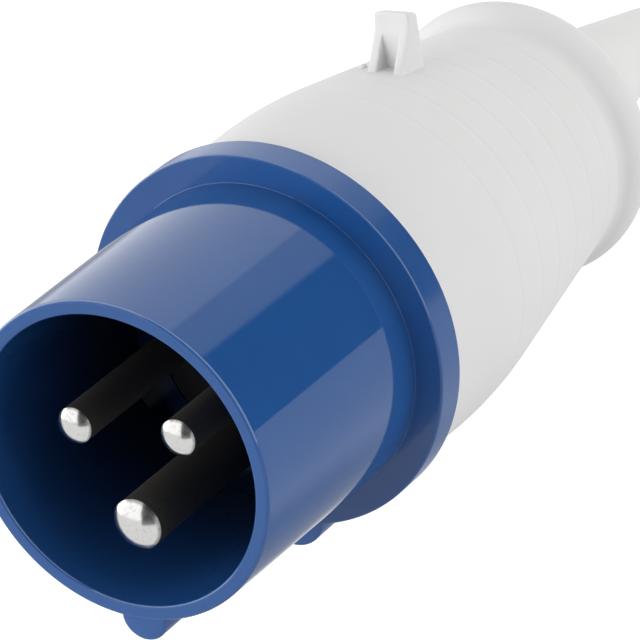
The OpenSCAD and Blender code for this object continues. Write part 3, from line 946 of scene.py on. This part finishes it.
    def hook_loop(self, rise: float) -> list[Vector]:
        """One level of the hook, seen from above: a block with the pocket cut into its front.

        Args:
            rise: Level, from 0 at the foot to 1 at the top.

        Returns:
            Points of the loop in millimetres.
        """
        back = self.hook_front + self.hook_length
        wall = back - self.hook_wall
        foot = self.radius_at(back) - self.hook_sink
        height = foot + (self.hook_height - foot) * rise
        drop = max(0.0, height - (self.hook_height - self.hook_round))
        inset = self.hook_round - math.sqrt(max(self.hook_round ** 2 - drop ** 2, 0.0))
        plain, rising = self.hook_flare_rise
        flare = self.hook_flare * max(0.0, 1 - max(0.0, height - foot - plain) / rising) ** 2
        side = self.hook_width / 2 - inset + flare
        rib = self.hook_width / 2 - self.hook_rib - flare
        ramp = self.radius_at(self.hook_front)
        climb = (height - ramp) / (self.hook_height - self.hook_face - ramp)
        bend = (climb + 1 - math.hypot(climb - 1, self.hook_bend)) / 2
        tip = self.hook_front + (wall - self.hook_front) * max(bend, self.hook_reach) - flare
        floor = max(self.hook_front + self.pocket - flare, tip + self.pocket_least)
        most, share = self.pocket_corner
        corner = min(most, share * (floor - tip))
        edge = inset / 2
        places = [(-side, tip + edge), (-side, back - edge + flare), (side, back - edge + flare),
                  (side, tip + edge), (rib, tip + edge), (rib, floor + edge), (-rib, floor + edge),
                  (-rib, tip + edge)]
        lean = self.hook_fall / self.hook_wall * rise ** self.hook_crown
        points = round_corners(list(zip(places, (*self.hook_corners, *[corner] * 4))))
        return [Vector((x + self.hook_across, y, height - lean * max(0.0, y - wall))) for x, y in points]

    def hook(self) -> bpy.types.Object:
        """Build the retaining hook: a ramp with a pocket, up to an upright face.

        Returns:
            The hook as a closed form.
        """
        levels = np.concatenate([np.linspace(*stretch) for stretch in self.hook_levels])
        loops = [self.hook_loop(float(level)) for level in levels]
        form = bmesh.new()
        rows = [[form.verts.new(point * MM) for point in loop] for loop in loops]
        for below, above in zip(rows, rows[1:]):
            for start in range(len(below)):
                after = (start + 1) % len(below)
                form.faces.new((below[start], below[after], above[after], above[start]))
        form.faces.new(rows[0])
        form.faces.new(rows[-1])
        mesh = bpy.data.meshes.new("hook")
        form.to_mesh(mesh)
        form.free()
        tidy_mesh(mesh)
        return new_piece("hook", mesh)

    def hook_pip(self) -> bpy.types.Object:
        """Build the round pip beside the hook.

        Returns:
            The pip as a ball that is half sunk into the grip.
        """
        depth = self.hook_front + self.hook_length / 2
        height = math.sqrt(self.radius_at(depth) ** 2 - self.pip_across ** 2)
        ball = Outline().arc((0.0, depth), self.pip, -90, 90, step=9)
        turns = full_turn(360.0 / self.pip_sides)
        return TurnedForm(ball, turns, (self.pip_across, height), capped=True).piece("hook_pip")

    def build(self) -> None:
        """Build the grip and dress it."""
        turns = turns_with(self.fine_turns, self.lock.way_edges())
        piece = TurnedForm(self.outline(), turns, relief=self.relief).piece("grip_moulding")
        combine(piece, self.hook(), "UNION")
        combine(piece, self.hook_pip(), "UNION")
        place_piece(piece, "rear_grip", Body.REAR, PALE.material())


def round_corners(loop: list[tuple[Point, float]], steps: int = 4) -> list[Point]:
    """Round the corners of a closed loop.

    Args:
        loop: Corners, each with its rounding radius.
        steps: Points along each rounding.

    Returns:
        Points of the rounded loop.
    """
    corners = [np.array(point) for point, _ in loop]
    rounded = []
    for place, (_, radius) in enumerate(loop):
        here = corners[place]
        ways = [corners[place - 1] - here, corners[(place + 1) % len(loop)] - here]
        legs = [way / max(float(np.linalg.norm(way)), TINY) for way in ways]
        start, end = (here + leg * radius for leg in legs)
        for share in np.linspace(0.0, 1.0, steps):
            bend = start * (1 - share) ** 2 + 2 * here * share * (1 - share) + end * share ** 2
            rounded.append((float(bend[0]), float(bend[1])))
    return rounded


@dataclass
class CordCone:
    """Soft cone at the cord end, with its flange inside the grip."""

    base: float = 11.4
    tip: float = 4.1
    tip_round: float = 0.5
    grip_back: float = 111.5
    flange: float = 14.7
    flange_front: float = 103.95
    flange_back: float = 106.95
    hole: float = 8.6
    cord: float = 3.0
    cord_length: float = 8.0
    sides: int = 144

    def outline(self, end: float) -> Outline:
        """Half section of the cone.

        Args:
            end: Depth of the cone's tip.

        Returns:
            The closed outline.
        """
        edge = self.tip_round
        section = Outline().at(self.hole, self.flange_front).line(self.flange, self.flange_front)
        section.line(self.flange, self.flange_back).line(self.base, self.flange_back)
        section.line(self.base, self.grip_back).line(self.tip, end - edge)
        section.arc((self.tip - edge, end - edge), edge, 0, 90, step=12)
        section.line(self.cord, end).line(self.cord, end - self.cord_length)
        section.line(self.hole, self.grip_back).line(self.hole, self.flange_front)
        section.points.pop()
        return section

    def build(self) -> None:
        """Build the cone and dress it."""
        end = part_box("cord_cone")[1].y / MM
        piece = TurnedForm(self.outline(end), full_turn(360.0 / self.sides)).piece("cord_cone_sleeve")
        place_piece(piece, "cord_cone", Body.REAR, SOFT.material())


@dataclass
class InnerWorks:
    """Pieces behind the cavity's floor and inside the grip, which keep their solids."""

    moulded: tuple[str, ...] = ("contact_carrier", "carrier_ring", "terminal_plate", "clamp_saddle",
                                "cone_keeper")
    screws: tuple[str, ...] = ("terminal_screws", "plate_screws", "clamp_screws", "clamp_nuts")
    rubber: tuple[str, ...] = ("housing_seal",)

    def build(self, nodes: dict[str, bpy.types.Object]) -> None:
        """Dress the solids.

        Args:
            nodes: The frame's objects by node name.
        """
        for names, finish in ((self.moulded, BLACK), (self.screws, STEEL), (self.rubber, RUBBER)):
            material = finish.material()
            for name in names:
                dress(nodes[name], material)
                LOG.info("%s keeps its solid, in %s", name, finish.name)


@dataclass(frozen=True)
class SkyField:
    """Soft-edged field in the sky: the cosines to its axis where it begins and is full, and its light."""

    axis: Triple
    edge: Point
    light: float = 1.0

    def share(self, graph: Graph, way: bpy.types.NodeSocket) -> bpy.types.NodeSocket:
        """Light of the field in one direction, from 0 outside to its full light inside."""
        cosine = graph.measure("DOT_PRODUCT", way, Vector(self.axis).normalized())
        return graph.spread(cosine, self.edge, (0.0, self.light), smooth=True)


@dataclass
class Studio:
    """White studio with a key at the front left, a fill at the right and a dark camera side.

    The strip is a dark upright band that only mirrors show, and it runs on over the floor. Lengths
    are in metres here, apart from the camera's lens and sensor.
    """

    light: float = 0.81
    key: SkyField = SkyField((-0.45, -0.89, -0.05), (0.77, 0.84), 3.4)
    fill: SkyField = SkyField((0.99, 0.06, -0.10), (0.55, 0.80), 1.9)
    dim: SkyField = SkyField((0.61, -0.74, 0.28), (0.77, 0.86), 0.97)
    mirror_light: float = 0.70
    box: SkyField = SkyField((-1.0, 0.0, 0.0), (-0.115, -0.085), 0.55)
    box_core: SkyField = SkyField((-0.45, 0.80, 0.40), (0.45, 0.75), 0.1)
    side_box: SkyField = SkyField((0.70, -0.70, 0.20), (0.90, 0.94), 0.6)
    bow_front: SkyField = SkyField((0.0, 1.0, 0.0), (-0.46, -0.40), 3.0)
    bow_back: SkyField = SkyField((0.0, -1.0, 0.0), (-0.45, -0.30))
    strip_left: SkyField = SkyField((0.9976, -0.0698, 0.0), (-0.02, 0.02), 0.92)
    strip_right: SkyField = SkyField((-0.848, -0.530, 0.0), (-0.02, 0.02))
    strip_floor: Point = (0.42, 0.50)
    gap_side: SkyField = SkyField((1.0, 0.0, 0.0), (0.37, 0.41))
    gap_back: SkyField = SkyField((0.0, 1.0, 0.0), (0.40, 0.55))
    floor_drop: float = 0.10
    floor_size: float = 4.0
    floor_tone: float = 0.80
    floor_glow: float = 0.36
    floor_shine: float = 0.1
    floor_shades: tuple[tuple[Point, Point, float], ...] = (((0.0, 0.11), (0.13, 0.05), 0.6),
                                                            ((-0.55, 0.65), (0.65, 0.30), 0.5))
    sensor: float = 36.0
    lens: float = 270.0
    eye: Triple = (0.32308, -0.43668, 0.24545)
    ahead: Triple = (-0.5088, 0.7668, -0.3912)
    up: Triple = (-0.0876, 0.4060, 0.9097)

    def build(self) -> None:
        """Build the world, the floor and the camera."""
        self.world()
        self.floor()
        self.camera()
        bpy.context.scene.view_settings.view_transform = "Standard"

    def world(self) -> None:
        """Light the plug: soft light for dull faces, boxes and gaps for mirrors, white for the camera."""
        world = bpy.data.worlds.new("studio")
        world.use_nodes = True
        bpy.context.scene.world = world
        graph = Graph(world.node_tree)
        way = graph.add("ShaderNodeTexCoord").outputs["Generated"]
        path = graph.add("ShaderNodeLightPath").outputs
        soft = graph.math("ADD", self.key.share(graph, way), self.fill.share(graph, way))
        soft = graph.math("ADD", self.light, soft)
        soft = graph.math("MULTIPLY", soft, graph.math("SUBTRACT", 1.0, self.dim.share(graph, way)))
        boxes = self.overlap(graph, way, self.bow_front, self.bow_back)
        for box in (self.box, self.box_core, self.side_box):
            boxes = graph.math("ADD", boxes, box.share(graph, way))
        gap = self.overlap(graph, way, self.gap_side, self.gap_back)
        dark = graph.math("MAXIMUM", gap, self.overlap(graph, way, self.strip_left, self.strip_right))
        mirrored = graph.math("ADD", self.mirror_light, boxes)
        mirrored = graph.math("MULTIPLY", mirrored, graph.math("SUBTRACT", 1.0, dark))
        lit = self.choose(graph, path["Is Glossy Ray"], mirrored, soft)
        plain = graph.math("MAXIMUM", path["Is Camera Ray"], path["Is Transmission Ray"])
        seen = self.choose(graph, plain, 1.0, lit)
        backdrop = graph.add("ShaderNodeBackground", Strength=seen)
        graph.add("ShaderNodeOutputWorld", Surface=backdrop.outputs[0])
        backdrop.inputs["Color"].default_value = (1.0, 1.0, 1.0, 1.0)

    @staticmethod
    def overlap(graph: Graph, way: bpy.types.NodeSocket, first: SkyField,
                second: SkyField) -> bpy.types.NodeSocket:
        """Light where two fields overlap, as the product of theirs."""
        return graph.math("MULTIPLY", first.share(graph, way), second.share(graph, way))

    @staticmethod
    def choose(graph: Graph, switch: bpy.types.NodeSocket, first: object,
               second: object) -> bpy.types.NodeSocket:
        """First number where the switch is 1, second number where it is 0."""
        return graph.math("ADD", graph.math("MULTIPLY", first, switch),
                          graph.math("MULTIPLY", second, graph.math("SUBTRACT", 1.0, switch)))

    def floor(self) -> None:
        """Lay the pale floor, with painted shadow in the colour that only mirror rays see."""
        half = self.floor_size / 2
        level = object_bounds()[0][2] - self.floor_drop
        mesh = bpy.data.meshes.new("floor")
        corners = [(-half, -half, level), (half, -half, level), (half, half, level), (-half, half, level)]
        mesh.from_pydata(corners, [], [(0, 1, 2, 3)])
        floor = new_piece("floor", mesh)
        material, graph, place = new_graph("pale_floor")
        path = graph.add("ShaderNodeLightPath").outputs
        plain = graph.math("MAXIMUM", path["Is Camera Ray"], path["Is Transmission Ray"])
        mirrored = path["Is Glossy Ray"]
        shine = graph.math("MULTIPLY", mirrored, self.floor_shine)
        glow_level = graph.math("ADD", graph.math("MULTIPLY", plain, self.floor_glow), shine)
        tone: object = self.floor_tone
        # Painted shadow for mirror rays: the floor darkens along the strip, under the plug and far to the
        # left behind it.
        strip = self.overlap(graph, place, self.strip_left, self.strip_right)
        away = graph.measure("DISTANCE", place, (0.0, 0.0, level))
        shades = [graph.math("MULTIPLY", strip, graph.spread(away, self.strip_floor, (0.0, 1.0)))]
        for centre, edge, depth in self.floor_shades:
            away = graph.measure("DISTANCE", place, (*centre, level))
            shades.append(graph.spread(away, edge, (0.0, depth), smooth=True))
        for shade in shades:
            left = graph.math("SUBTRACT", 1.0, graph.math("MULTIPLY", shade, mirrored))
            tone = graph.math("MULTIPLY", tone, left)
        base = graph.add("ShaderNodeBsdfDiffuse", Color=tone)
        glow = graph.add("ShaderNodeEmission", Strength=glow_level)
        both = graph.add("ShaderNodeAddShader", None, base.outputs[0], glow.outputs[0])
        graph.add("ShaderNodeOutputMaterial", Surface=both.outputs[0])
        mesh.materials.append(material)
        floor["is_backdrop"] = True

    def camera(self) -> None:
        """Place the camera at the photograph's angle."""
        data = bpy.data.cameras.new("camera")
        data.sensor_width = self.sensor
        data.lens = self.lens
        camera = bpy.data.objects.new("camera", data)
        bpy.context.scene.collection.objects.link(camera)
        back = -Vector(self.ahead).normalized()
        right = Vector(self.up).cross(back).normalized()
        up = back.cross(right)
        camera.matrix_world = Matrix.Translation(self.eye) @ Matrix((right, up, back)).transposed().to_4x4()
        bpy.context.scene.camera = camera


def main() -> None:
    """Dress the plug and set up the studio."""
    logging.basicConfig(level=logging.INFO, format="%(name)s: %(message)s")
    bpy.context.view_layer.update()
    lock = TwistLock()
    FrontMoulding(lock).build()
    nickel = NICKEL.material()
    for node in ("line_pin", "neutral_pin"):
        ContactPin(node, shank=2.5, barrel=4.2).build(nickel)
    ContactPin("earth_pin", shank=3.5, barrel=4.6).build(nickel)
    RearGrip(lock).build()
    CordCone().build()
    InnerWorks().build(frame["nodes"])
    Studio().build()


if __name__ == "__main__":
    main()
